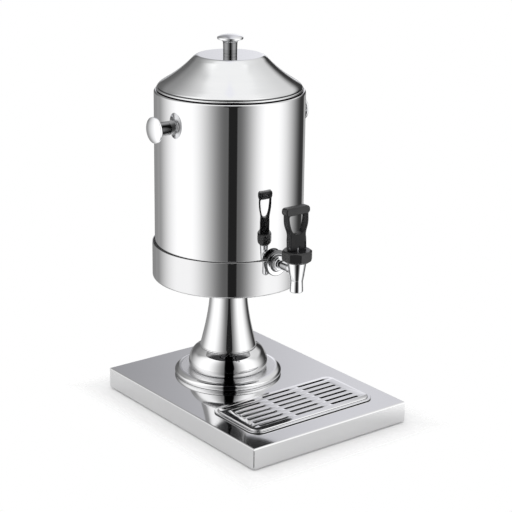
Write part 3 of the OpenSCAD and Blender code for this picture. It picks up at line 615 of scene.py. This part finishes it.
def drum():
    """Shell with a rounded shoulder, base cup with a black seal in its mouth that stands in for the shade of
    the gap, and vessel with its bead.
    """
    wide, _, high = size("outer_shell")
    r = wide / 2
    edge = 2.7
    wall = 1
    ledge = VESSEL_RADIUS + 0.3
    centre = (r - edge, high - edge)
    outline = [(r, 0), (r, 1), (r, high - edge - 1)] + arc(centre, edge, 0, 90, 12)
    outline += [(r - edge - 0.6, high), (ledge, high), (ledge, high - wall)]
    outline += arc(centre, edge - wall, 90, 0, 8) + [(r - wall, high - edge - 1), (r - wall, 0)]
    shell = lathe("drum_shell", outline, on_drum(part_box("outer_shell")[0].z), True, 288)
    put(shell, drum_steel, "urn", "polished_steel", "outer_shell")

    wide, _, high = size("base_cup")
    r = wide / 2
    corner = 3
    lip = wall / 2
    hole = 5.5
    outer = arc((r - corner, corner), corner, -90, 0, 12) + [(r, corner + 1), (r, high - lip - 1)]
    outer += arc((r - lip, high - lip), lip, 0, 180, 12)
    outer += [(r - wall, high - lip - 1), (r - wall, corner + 1)]
    inner = arc((r - corner, corner), corner - wall, 0, -90, 8)
    outline = [(hole, 0), (r - corner - 1, 0)] + outer + inner + [(hole, wall)]
    cup = lathe("drum_cup", outline, on_drum(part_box("base_cup")[0].z), True, 288)
    put(cup, drum_steel, "urn", "polished_steel", "base_cup")

    # The black seal in the gap between cup and shell stands in for the shade there
    wide, _, high = size("cup_seal")
    r = wide / 2
    inside = 102.6
    outline = [(inside, 0), (r, 0)] + arc((r - 0.4, high - 0.4), 0.4, 0, 80, 5)
    outline += bend(outline[-1], (r - 1, high - 0.25), (inside + 0.8, high - 0.25), (inside, high), 6)
    ring = lathe("cup_seal_ring", outline, on_drum(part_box("cup_seal")[0].z), True, 288)
    put(ring, black_rubber, "urn", "black_rubber", "cup_seal")

    high = size("inner_vessel")[2]
    r = VESSEL_RADIUS
    wall = 0.8
    corner = 6
    roll = (r - wall + BEAD, high - BEAD)
    foot = (r - corner, corner)
    outline = [(0, 0), (r - corner - 1, 0)] + arc(foot, corner, -90, 0, 12)
    outline += [(r, corner + 1), (r, high - 5)] + arc(roll, BEAD, -125, 180, 40)
    outline += [(r - wall, high - 4), (r - wall, corner + 1)] + arc(foot, corner - wall, 0, -90, 12)
    outline += [(r - corner - 1, wall), (0, wall)]
    vessel = lathe("milk_vessel", outline, on_drum(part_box("inner_vessel")[0].z), False, 288)
    put(vessel, vessel_steel, "urn", "satin_steel", "inner_vessel")


def knob_outline(radius, high, collar):
    """A mushroom knob on a collar, from the middle of its base to the middle of its cap."""
    stem = KNOB_STEM
    rim = collar + high - 3.9
    under = rim - 2.2
    waist = (stem + 0.3, collar + 13)
    points = [(0, 0), (stem, 0)]
    if collar:
        nick = stem - 0.35
        points += [(stem, collar - 0.3), (nick, collar - 0.1), (nick, collar + 0.1), (stem, collar + 0.3)]
    points += bend(points[-1], (stem, collar + 4.5), (stem + 0.1, collar + 8.5), waist, 8)
    points += bend(waist, (waist[0] + 0.1, waist[1] + 3.6),
                   (radius - 6, under - 1.4), (radius - 0.8, under), 14)
    points += bend(points[-1], (radius - 0.2, under + 0.1), (radius, under + 0.3), (radius, under + 0.8), 5)
    points += bend((radius, rim - 0.2), (radius, rim + 0.4),
                   (radius - 0.2, rim + 0.6), (radius - 0.7, rim + 0.7), 5)
    points += bend(points[-1], (radius - 4.5, rim + 2.8), (7, collar + high), (0, collar + high), 18)
    return points


def knobs():
    """The knob on the lid, which stands on a collar, and the two on the drum's sides."""
    wide, _, tall = size("lid_knob")
    high = size("left_knob")[0]
    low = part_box("lid_knob")[0]
    top = lathe("lid_knob_turned", knob_outline(wide / 2, high, tall - high), on_drum(low.z), turns=96)
    put(top, knob_chrome, "lid_body", "bright_chrome", "lid_knob")
    for side, node in ((-1, "left_knob"), (1, "right_knob")):
        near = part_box(node)[1 if side < 0 else 0]
        outwards = Matrix.Rotation(side * math.pi / 2, 4, "Y")
        place = Matrix.Translation((near.x, DRUM.y, middle(node).z)) @ outwards
        knob = lathe(node + "_turned", knob_outline(wide / 2, high, 0), place, turns=96)
        put(knob, knob_chrome, "urn", "bright_chrome", node)


def lid():
    """The lid's pressed dome with its hemmed rim."""
    wide, _, high = size("lid")
    r = wide / 2
    top = (43, high)
    shoulder = (top[0] + 8, high - 4.8)
    cone_end = (r - 8.5, 7.6)
    profile = [(2.75, high), (20, high), (top[0] - 1, high), top]
    profile += bend(top, (top[0] + 2.4, high), (shoulder[0] - 1.9, shoulder[1] + 2), shoulder, 14)
    profile += bend(shoulder, (shoulder[0] + 6.4, shoulder[1] - 6.7),
                    (cone_end[0] - 20.3, cone_end[1] + 12.2), cone_end, 24)
    profile += bend(cone_end, (cone_end[0] + 5.8, cone_end[1] - 3.5), (r - 0.4, 1.8), (r, 0.5), 12)
    inner = moved_in(profile[:-4], -0.9)
    hem = [(r - 0.2, 0.1), (r - 0.6, 0), (r - 1.4, 0), (r - 1.6, 0.3), (r - 1.6, 1.2)]
    outline = profile + hem + inner[::-1]
    dome = lathe("lid_dome", outline, on_drum(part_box("lid")[0].z), True, 256)
    put(dome, lid_steel, "lid_body", "satin_steel", "lid")


def frame_loop(wide, deep, radius, height, steps=10):
    """A rectangle with rounded corners, as points in metres at one height."""
    points = []
    for quarter, (sx, sy) in enumerate(((1, 1), (-1, 1), (-1, -1), (1, -1))):
        centre = (sx * (wide / 2 - radius), sy * (deep / 2 - radius))
        points += [(x * MM, y * MM, height * MM)
                   for x, y in arc(centre, radius, 90 * quarter, 90 * quarter + 90, steps)]
    return points


def drip_tray():
    """The pressed tray: a flange with a rolled edge round a basin."""
    wide, deep, _ = size("drip_tray")
    low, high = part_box("drip_tray")
    bottom = low.z / MM
    top = high.z / MM
    thick = 0.8
    lip = 6
    corner = 17
    slope = 1.5
    section = softened([
        (0, top - thick, 0), (0, top, 0.35), (lip, top, 1.4),
        (lip + slope, bottom + thick, 4), (lip + 12, bottom + thick, 0)], 6)
    under = softened([
        (lip + 11, bottom, 0), (lip + slope - thick, bottom, 4.4), (lip - thick, top - thick, 0.6),
        (0, top - thick, 0)], 6)
    rings = []
    for inset, height in section[::-1] + under[::-1][:-1]:
        rings.append(frame_loop(wide - 2 * inset, deep - 2 * inset, max(corner - inset, 3), height))
    place = Matrix.Translation((middle("drip_tray").x, middle("drip_tray").y, 0))
    tray = surface("tray_pressing", rings, False, place)
    put(tray, tray_steel, "tray", "satin_steel", "drip_tray")


def turned(loop):
    """Each point of a flat loop with the direction that leads away from what it encloses."""
    area = sum(a[0] * b[1] - b[0] * a[1] for a, b in zip(loop, loop[1:] + loop[:1]))
    sign = 1 if area > 0 else -1
    out = []
    for i, point in enumerate(loop):
        before = Vector(loop[i - 1])
        here = Vector(point)
        after = Vector(loop[(i + 1) % len(loop)])
        first = (here - before).normalized()
        second = (after - here).normalized()
        normal = Vector((first.y + second.y, -first.x - second.x)).normalized() * sign
        stretch = 1 / max(0.5, normal.dot(Vector((first.y, -first.x)) * sign))
        out.append((here, normal * stretch))
    return out


def cut_sheet(name, outer, holes, thick, edge, matrix, steps=3):
    """A sheet with holes, from z = 0 up to its thickness, with every edge rounded. Sizes are millimetres."""
    mesh = bmesh.new()
    levels = []
    for k in range(steps + 1):
        a = math.pi / 2 * k / steps
        levels.append((edge * (1 - math.sin(a)), edge * (1 - math.cos(a))))
    levels += [(inset, thick - height) for inset, height in levels[::-1]]
    tops = []
    bottoms = []
    for loop, sign in [(outer, -1)] + [(hole, 1) for hole in holes]:
        pairs = turned(loop)
        rings = []
        for inset, height in levels:
            ring = []
            for point, out in pairs:
                p = point + out * (inset * sign)
                ring.append(mesh.verts.new(matrix @ (Vector((p.x, p.y, height)) * MM)))
            rings.append(ring)
        count = len(loop)
        for low, high in zip(rings, rings[1:]):
            for i in range(count):
                mesh.faces.new((low[i], low[(i + 1) % count], high[(i + 1) % count], high[i]))
        tops.append(rings[-1])
        bottoms.append(rings[0])
    back = matrix.inverted()
    for loops in (tops, bottoms):
        flat = [[(back @ v.co).xy.to_3d() for v in loop] for loop in loops]
        verts = [v for loop in loops for v in loop]
        for triangle in tessellate_polygon(flat):
            mesh.faces.new([verts[i] for i in triangle])
    bmesh.ops.dissolve_limit(mesh, angle_limit=0.001, verts=mesh.verts, edges=mesh.edges)
    return solid(name, mesh, 50)


def slot_loop(x, y, length, width, steps=8):
    """A slot with round ends."""
    half = (length - width) / 2
    return arc((x + half, y), width / 2, -90, 90, steps) + arc((x - half, y), width / 2, 90, 270, steps)


def drip_grid():
    """The slotted grid with its turned-down rim and four tabs. The slots lie a little behind its middle."""
    wide, deep, _ = size("drip_grid")
    low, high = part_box("drip_grid")
    top = high.z / MM
    rim = 1.3
    thick = 0.8
    corner = 12.5
    slot_length = 48
    slot_width = 5
    pitch = 12
    column_pitch = 61.5
    shift = 2
    outer = [(x / MM, y / MM) for x, y, _ in frame_loop(wide - 0.3, deep - 0.3, corner, 0)]
    holes = [slot_loop(column * column_pitch, row * pitch + shift, slot_length, slot_width)
             for column in (-1, 0, 1) for row in range(-3, 4)]
    centre = middle("drip_grid")
    place = Matrix.Translation((centre.x, centre.y, (top - thick) * MM))
    plate = cut_sheet("grid_plate", outer, holes, thick, 0.3, place)
    put(plate, grid_steel, "grid", "polished_steel", "drip_grid")
    section = [(0.15, top - 0.5), (0, top - 0.7), (0, top - rim), (0.7, top - rim), (0.7, top - thick)]
    rings = [frame_loop(wide - 2 * inset, deep - 2 * inset, corner - inset, height)
             for inset, height in section]
    edge = surface("grid_rim", rings, True, Matrix.Translation((centre.x, centre.y, 0)))
    put(edge, grid_steel, "grid", "polished_steel")
    half = 10
    drop = top - rim - low.z / MM
    chamfer = 1.5
    for side in (-1, 1):
        for end in (-1, 1):
            outline = [(-half, 0), (-half, chamfer - drop), (chamfer - half, -drop),
                       (half - chamfer, -drop), (half, chamfer - drop), (half, 0)]
            reach = side * (wide / 2 - 3.1)
            along = end * deep / 5
            spot = Matrix.Translation((centre.x + reach * MM, centre.y + along * MM, (top - rim) * MM))
            stand = Matrix.Rotation(math.pi / 2, 4, "Z") @ Matrix.Rotation(math.pi / 2, 4, "X")
            tab = cut_sheet(f"grid_tab_{side + 1}{end + 1}", outline, [], thick, 0.2, spot @ stand)
            put(tab, grid_steel, "grid", "polished_steel")


def tap_body():
    """Spout and shank of the tap in chrome."""
    low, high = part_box("tap_body")
    base = low.z
    tall = (high.z - low.z) / MM
    spout_r = 8.75
    top_r = (high.x - low.x) / 2 / MM
    straight = 15
    neck_h = 9.7
    rim = tall - neck_h
    bore = 5.5
    chamber = 8.6
    seat = 20
    waist_r = 8.45
    outline = [(bore + 0.3, 0), (spout_r - 1.2, 0)]
    outline += bend(outline[-1], (spout_r - 0.2, 0), (spout_r + 0.2, 0.6), (spout_r + 0.2, 2), 8)
    outline += bend(outline[-1], (spout_r + 0.2, 6), (waist_r, straight - 5), (waist_r, straight - 1), 10)
    outline += bend(outline[-1], (waist_r, straight + 0.4), (waist_r + 0.2, straight + 1.2),
                    (waist_r + 0.7, straight + 2.8), 8)
    outline += softened([(waist_r + 0.7, straight + 2.8, 0), (top_r, rim - 1.6, 1.5), (top_r, rim, 0.3),
                         (10.4, rim, 0.2), (10.4, tall, 0.2), (chamber, tall, 0)], 4)[1:]
    outline += [(chamber, seat + 0.4), (chamber - 0.4, seat), (bore, seat), (bore, 0.3)]
    spout = lathe("tap_spout", outline, Matrix.Translation((SPOUT.x, SPOUT.y, base)), True, 96)
    put(spout, spout_chrome, "urn", "bright_chrome", "tap_body")

    shank_r = 6.4
    thread_start = 36
    pitch = 1.25
    level = middle("escutcheon").z
    reach = (high.y - SPOUT.y) / MM
    start = 8.9
    collar = top_r + 2.4
    outline = softened([
        (4, start, 0), (shank_r + 0.9, start, 0), (shank_r + 0.9, collar - 1, 0.8),
        (shank_r, collar + 0.6, 0.8), (shank_r, thread_start, 0)], 4)
    thread = shank_r - 0.35
    turn = thread_start
    while turn < reach - 1.6:
        outline += [(shank_r, turn + 0.2), (thread, turn + 0.6), (thread, turn + 0.75), (shank_r, turn + 1.1)]
        turn += pitch
    outline += [(shank_r - 0.6, reach), (4, reach)]
    along = Matrix.Translation((SPOUT.x, SPOUT.y, level)) @ Matrix.Rotation(-math.pi / 2, 4, "X")
    shank = lathe("tap_shank", outline, along, True, 72)
    put(shank, bright_chrome, "urn", "bright_chrome")


def escutcheon():
    """The disc and hub where the shank enters the drum."""
    low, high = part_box("escutcheon")
    r = (high.x - low.x) / 2 / MM
    hub = HUB_RADIUS
    bore = 6.5
    outline = [(bore, 0), (r - 0.6, 0)]
    outline += bend(outline[-1], (r, 0.1), (r + 0.05, 1.7), (r - 0.9, 2.1), 8)
    outline += bend(outline[-1], (r - 3.4, 2.2), (hub + 1.8, 1.2), (hub + 0.7, 2.2), 10)
    outline += softened([(hub + 0.7, 2.2, 0), (hub, 3, 0.6), (hub, 5.6, 0.9), (8.2, 6.6, 0.4),
                         (8.2, 8, 0.4), (bore, 8, 0)], 4)[1:]
    forwards = Matrix.Rotation(math.pi / 2, 4, "X")
    face = Matrix.Translation((SPOUT.x, high.y, middle("escutcheon").z)) @ forwards
    disc = lathe("escutcheon_disc", outline, face, True, 128)
    put(disc, disc_chrome, "urn", "bright_chrome", "escutcheon")


def bonnet():
    """The black eight-sided bonnet with the softened edges of a moulding."""
    low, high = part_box("bonnet")
    flat = (high.x - low.x) / 2 / MM
    tall = (high.z - low.z) / MM
    corner = flat / math.cos(math.radians(22.5))
    foot = 13.4
    blend = 0.4

    def softer(a, b, width):
        """The smaller of two radii, with a rounded change between them."""
        h = max(width - abs(a - b), 0) / width
        return min(a, b) - h * h * width / 4

    def eight_sided(angle):
        """Radius of an octagon with softened corners, in the direction of an angle."""
        near = (angle + math.pi / 8) % (math.pi / 4) - math.pi / 8
        plain = flat / math.cos(near)
        return softer(plain, corner - 0.2, 0.3)

    section = softened([
        (foot, 0, 0), (foot + 2.6, 0.9, 0.6), (corner + 0.6, 5, 0), (corner + 0.6, tall - 3, 0),
        (corner - 3.4, tall, 0), (9, tall, 0)], 5)
    fine = []
    for (r0, z0), (r1, z1) in zip(section, section[1:]):
        parts = max(1, round(math.hypot(r1 - r0, z1 - z0) / 0.5))
        fine += [(r0 + (r1 - r0) * i / parts, z0 + (z1 - z0) * i / parts) for i in range(parts)]
    fine.append(section[-1])
    turns = 256
    rings = []
    for radius, height in fine:
        ring = []
        for i in range(turns):
            a = 2 * math.pi * i / turns
            r = softer(eight_sided(a), radius, blend)
            ring.append((r * MM * math.cos(a), r * MM * math.sin(a), height * MM))
        rings.append(ring)
    stem_hole = 2.4
    chamber = 10.5
    ceiling = 13
    thread = 12.4
    thread_top = 2.4
    inner = [(stem_hole, tall), (stem_hole, ceiling), (chamber, ceiling), (chamber, thread_top),
             (thread, thread_top), (thread, 0)]
    rings += [circle(radius, height, turns) for radius, height in inner]
    cap = surface("bonnet_moulding", rings, True, Matrix.Translation((SPOUT.x, SPOUT.y, low.z)))
    put(cap, black_plastic, "urn", "black_plastic", "bonnet")


def prism(name, outline, thick, matrix):
    """A plain cutter: an outline in millimetres, from z = 0 up to its thickness."""
    rings = [[(x * MM, y * MM, height * MM) for x, y in outline] for height in (0, thick)]
    return surface(name, rings, False, matrix)


def carve(piece, cutters):
    """Cuts the cutters out of a piece."""
    for cutter in cutters:
        cut = piece.modifiers.new("cut", "BOOLEAN")
        cut.object = cutter
        cut.solver = "EXACT"
    ready = piece.evaluated_get(bpy.context.evaluated_depsgraph_get())
    piece.data = bpy.data.meshes.new_from_object(ready)
    piece.modifiers.clear()
    piece.data.shade_smooth()
    piece.data.set_sharp_from_angle(angle=math.radians(40))
    for cutter in cutters:
        bpy.data.objects.remove(cutter)


def lever():
    """The lever: a flat moulding with a window, a recess and a thumb bar on top."""
    low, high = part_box("tap_lever")
    tall = (high.z - low.z) / MM
    bar_w = (high.x - low.x) / MM
    deep = 10
    back = (low.y - SPOUT.y) / MM + deep / 2
    lean = math.tan(math.radians(3))
    bar_d = 12
    bar_h = 10.5
    bar_low = tall - bar_h
    neck = 13
    leg = 17.25
    right = [(neck - 0.6, 0), (neck, 0.6), (neck, 12)]
    right += bend((neck, 12), (neck, 16), (neck - 0.6, 17), (neck - 0.6, 20), 8)
    right += bend((neck - 0.6, 20), (neck - 0.2, 27), (leg - 0.3, 30), (leg, 40), 14)
    right += [(leg, bar_low + 1.2)]
    outer = right + [(-x, y) for x, y in right[::-1]]
    half = 14.25
    sill = 20.8
    side = bend((0, sill), (6.6, sill), (half - 4, sill + 4.2), (half - 1.9, sill + 11.5), 14)
    side += bend(side[-1], (half - 1, sill + 15), (half, sill + 20), (half, sill + 23), 8)
    side += [(half, bar_low - 2.4)]
    side += bend(side[-1], (half, bar_low - 1), (half - 1, bar_low), (half - 2.4, bar_low), 6)
    window = [(0, sill)] + side + [(-x, y) for x, y in side[::-1]]
    leaning = Matrix(((1, 0, 0, 0), (0, 1, lean, back * MM), (0, 0, 1, 0), (0, 0, 0, 1)))
    foot = Matrix.Translation((SPOUT.x, SPOUT.y, low.z))
    stand = Matrix.Rotation(math.pi / 2, 4, "X")
    face = Matrix.Translation((0, deep / 2 * MM, 0)) @ stand
    moulding = cut_sheet("lever_moulding", outer, [window], deep, 0.7, foot @ leaning @ face, 4)

    joints = {joint["name"]: joint for joint in frame["record"]["behaviour"]["joints"]}
    hinge = joints["lever_tilt"]["pos_m"][2]
    pin = Matrix.Translation((SPOUT.x, SPOUT.y, hinge))
    across = pin @ Matrix(((0, 0, 1, 0), (1, 0, 0, 0), (0, 1, 0, 0), (0, 0, 0, 1)))
    slot = 2.5
    drop = (hinge - low.z) / MM
    front = deep / 2 - back
    swing = [(slot, 0), (slot, -drop - 1), (-2 * front, -drop - 1),
             (-2 * front, -drop + 0.6), (-front - 0.5, -1.3)]
    swing += arc((0, 0), slot, 140, 0, 10)[:-1]
    wide = Matrix.Translation((0, 0, -slot * MM))
    bore = Matrix.Translation((0, 0, -1.2 * neck * MM))
    recess = softened([(0.4, -1, 0), (0.4, 10, 1), (neck - 1.2, 10, 1), (neck - 1.2, -1, 0)], 4)
    inside = Matrix.Translation((0, (1.2 - deep / 2) * MM, 0)) @ stand
    carve(moulding, [
        prism("slot_cutter", swing, 2 * slot, across @ wide),
        prism("pin_cutter", arc((0, 0), 1, 0, 345, 23), 2.4 * neck, across @ bore),
        prism("recess_cutter", recess, 2.2, foot @ leaning @ inside),
    ])
    put(moulding, dull_plastic, "lever", "black_plastic", "tap_lever")

    ends = bar_h / 2 - 0.6
    outline = [(x / MM, y / MM + bar_low + bar_h / 2) for x, y, _ in frame_loop(bar_w, bar_h, ends, 0, 14)]
    thumb = Matrix.Translation((0, bar_d / 2 * MM, 0)) @ stand
    bar = cut_sheet("lever_bar", outline, [], bar_d, 2.2, foot @ leaning @ thumb, 7)
    put(bar, black_plastic, "lever", "black_plastic")


def dress_the_rest():
    """Gives the CAD nodes a finish each, for those that still show."""
    finishes = {
        "base_plate": plate_steel, "lid_skirt": vessel_steel, "ice_socket": vessel_steel,
        "ice_tube": vessel_steel, "rubber_feet": black_rubber, "tray_gasket": black_rubber,
        "tap_spacer": black_rubber, "tap_washer": black_rubber, "lid_gasket": milky_silicone,
        "bonnet_seal": milky_silicone, "seat_plug": milky_silicone,
    }
    for name, node in frame["nodes"].items():
        node.data.materials.clear()
        node.data.materials.append(finishes.get(name, fixing_steel))


def swung(first, second, angle):
    """Two directions at right angles, both turned by an angle so that the first leans to the second."""
    return (first * math.cos(angle) + second * math.sin(angle),
            second * math.cos(angle) - first * math.sin(angle))


def camera():
    """The photograph's camera."""
    azimuth = math.radians(CAMERA_AZIMUTH)
    elevation = math.radians(CAMERA_ELEVATION)
    level = math.cos(elevation)
    back = Vector((math.sin(azimuth) * level, -math.cos(azimuth) * level, math.sin(elevation)))
    right = Vector((math.cos(azimuth), math.sin(azimuth), 0))
    ahead = -back
    up = right.cross(ahead)
    yaw = math.atan2(AIM_PIXEL[0] - PHOTO_SIDE / 2, CAMERA_FOCUS)
    pitch = math.atan2(PHOTO_SIDE / 2 - AIM_PIXEL[1], CAMERA_FOCUS)
    right, ahead = swung(right, ahead, yaw)
    up, ahead = swung(up, ahead, pitch)
    right, up = swung(right, up, math.radians(CAMERA_ROLL))
    data = bpy.data.cameras.new("camera")
    data.sensor_width = SENSOR
    data.lens = CAMERA_FOCUS / PHOTO_SIDE * SENSOR
    made = bpy.data.objects.new("camera", data)
    made.matrix_world = Matrix.Translation(AIM_POINT + back * CAMERA_DISTANCE) @ Matrix(
        (right, up, -ahead)).transposed().to_4x4()
    bpy.context.scene.collection.objects.link(made)
    bpy.context.scene.camera = made


def studio():
    """A white room as the camera sees it. Gloss sees soft boxes, dark gaps and a black card instead."""
    world = bpy.data.worlds.new("studio")
    world.use_nodes = True
    bpy.context.scene.world = world
    sheet = Sheet(world.node_tree)
    x, y, z = sheet.split(sheet.node("TexCoord", out="Generated"))
    degrees = 180 / math.pi
    azimuth = x.maths("ARCTAN2", x, 0 - y) * degrees - CAMERA_AZIMUTH
    side = x.maths("WRAP", azimuth, 180.0, -180.0)
    rise = x.maths("ARCSINE", z) * degrees

    # Soft boxes at both sides and dim panels behind the urn, by degrees to the right of the camera
    left_box = side.step(-150, -80) * side.step(-4, -64)
    right_box = side.step(12, 60) * side.step(138, 74)
    left_rear = side.step(-172, -164) * side.step(-128, -142)
    right_rear = side.step(148, 156) * side.step(174, 166)
    base = 0.04 + 0.10 * side.step(126, 60) * side.step(-176, -160)
    rear = (0.16 * left_rear + 0.38 * right_rear) * rise.step(0, -8)
    walls = base + 1.10 * left_box + 1.12 * right_box + rear

    # Black card beside the camera, wider above than below
    wider = rise.step(-12, 12)
    card = (side + 2 + 8 * wider).step(0, 1.2) * (12.3 + 7 * wider - side).step(0, 1.2)
    front = walls * (1 - card) + 0.018 * card

    # Lights high at the flanks, the wall behind the urn that the plate mirrors, and the ceiling
    rear_side = azimuth.maths("WRAP", azimuth + 180, 180.0, -180.0)
    right_half = rear_side.step(6, -6)
    flanks = side.step(-100, -126).or_more(side.step(84, 108)) * rise.step(14, 30)
    flank_light = 0.30 + 0.48 * right_half + (0.75 - 0.48 * right_half) * rise.step(28, 80)
    back_wall = abs(side).step(166, 172) * rise.step(-8, 0)
    back_light = 0.37 + 0.41 * right_half + 0.31 * rise.step(19, 12)
    overhead = rise.step(60, 70)
    room = front * (1 - flanks) + flank_light * flanks
    room = room * (1 - back_wall) + back_light * back_wall
    room = room * (1 - overhead) + 1.08 * overhead

    seen, glossy = sheet.rays()
    strength = seen + (1 - seen) * (glossy * room + (1 - glossy) * 1.0)
    tint = sheet.blend(colour(1, 1, 1), colour(0.95, 0.95, 1), back_wall * (1 - seen))
    light = sheet.node("Background", (), {"Color": tint, "Strength": strength})
    sheet.node("OutputWorld", (), {"Surface": light})


def floor():
    """A white table top. Polished metal sees only the part of it near the urn."""
    def paint(sheet):
        seen, glossy = sheet.rays()
        grain = sheet.noise((40, 40, 40), 3.0)
        radius, angle, _ = round_the_axis(sheet, (0, 0, 0))
        across = abs(radius * angle.maths("SINE", angle)) - PLATE.x / 2
        along = abs(radius * angle.maths("COSINE", angle)) - PLATE.y / 2
        white = sheet.blend(colour(0.80, 0.80, 0.80), colour(1, 1, 1), seen)
        top = sheet.node("BsdfPrincipled", (), {
            "Base Color": white, "Roughness": 0.9 + 0.05 * grain, "Specular IOR Level": 0.0})
        clear = sheet.node("BsdfTransparent")
        far = (glossy * radius.step(0.22, 0.30)).or_more(seen * across.or_more(along).step(0.002, 0.05))
        return sheet.node("MixShader", (), {0: far, 1: top, 2: clear})

    half = 6.0
    mesh = bmesh.new()
    corners = ((-half, -half, 0), (half, -half, 0), (half, half, 0), (-half, half, 0))
    mesh.faces.new([mesh.verts.new(corner) for corner in corners])
    table = solid("table_top", mesh)
    table.data.materials.append(finish("table_white", paint))


camera()
studio()
floor()
pedestal()
drum()
knobs()
lid()
drip_tray()
drip_grid()
tap_body()
escutcheon()
bonnet()
lever()
dress_the_rest()
bpy.context.scene.view_settings.view_transform = "Standard"
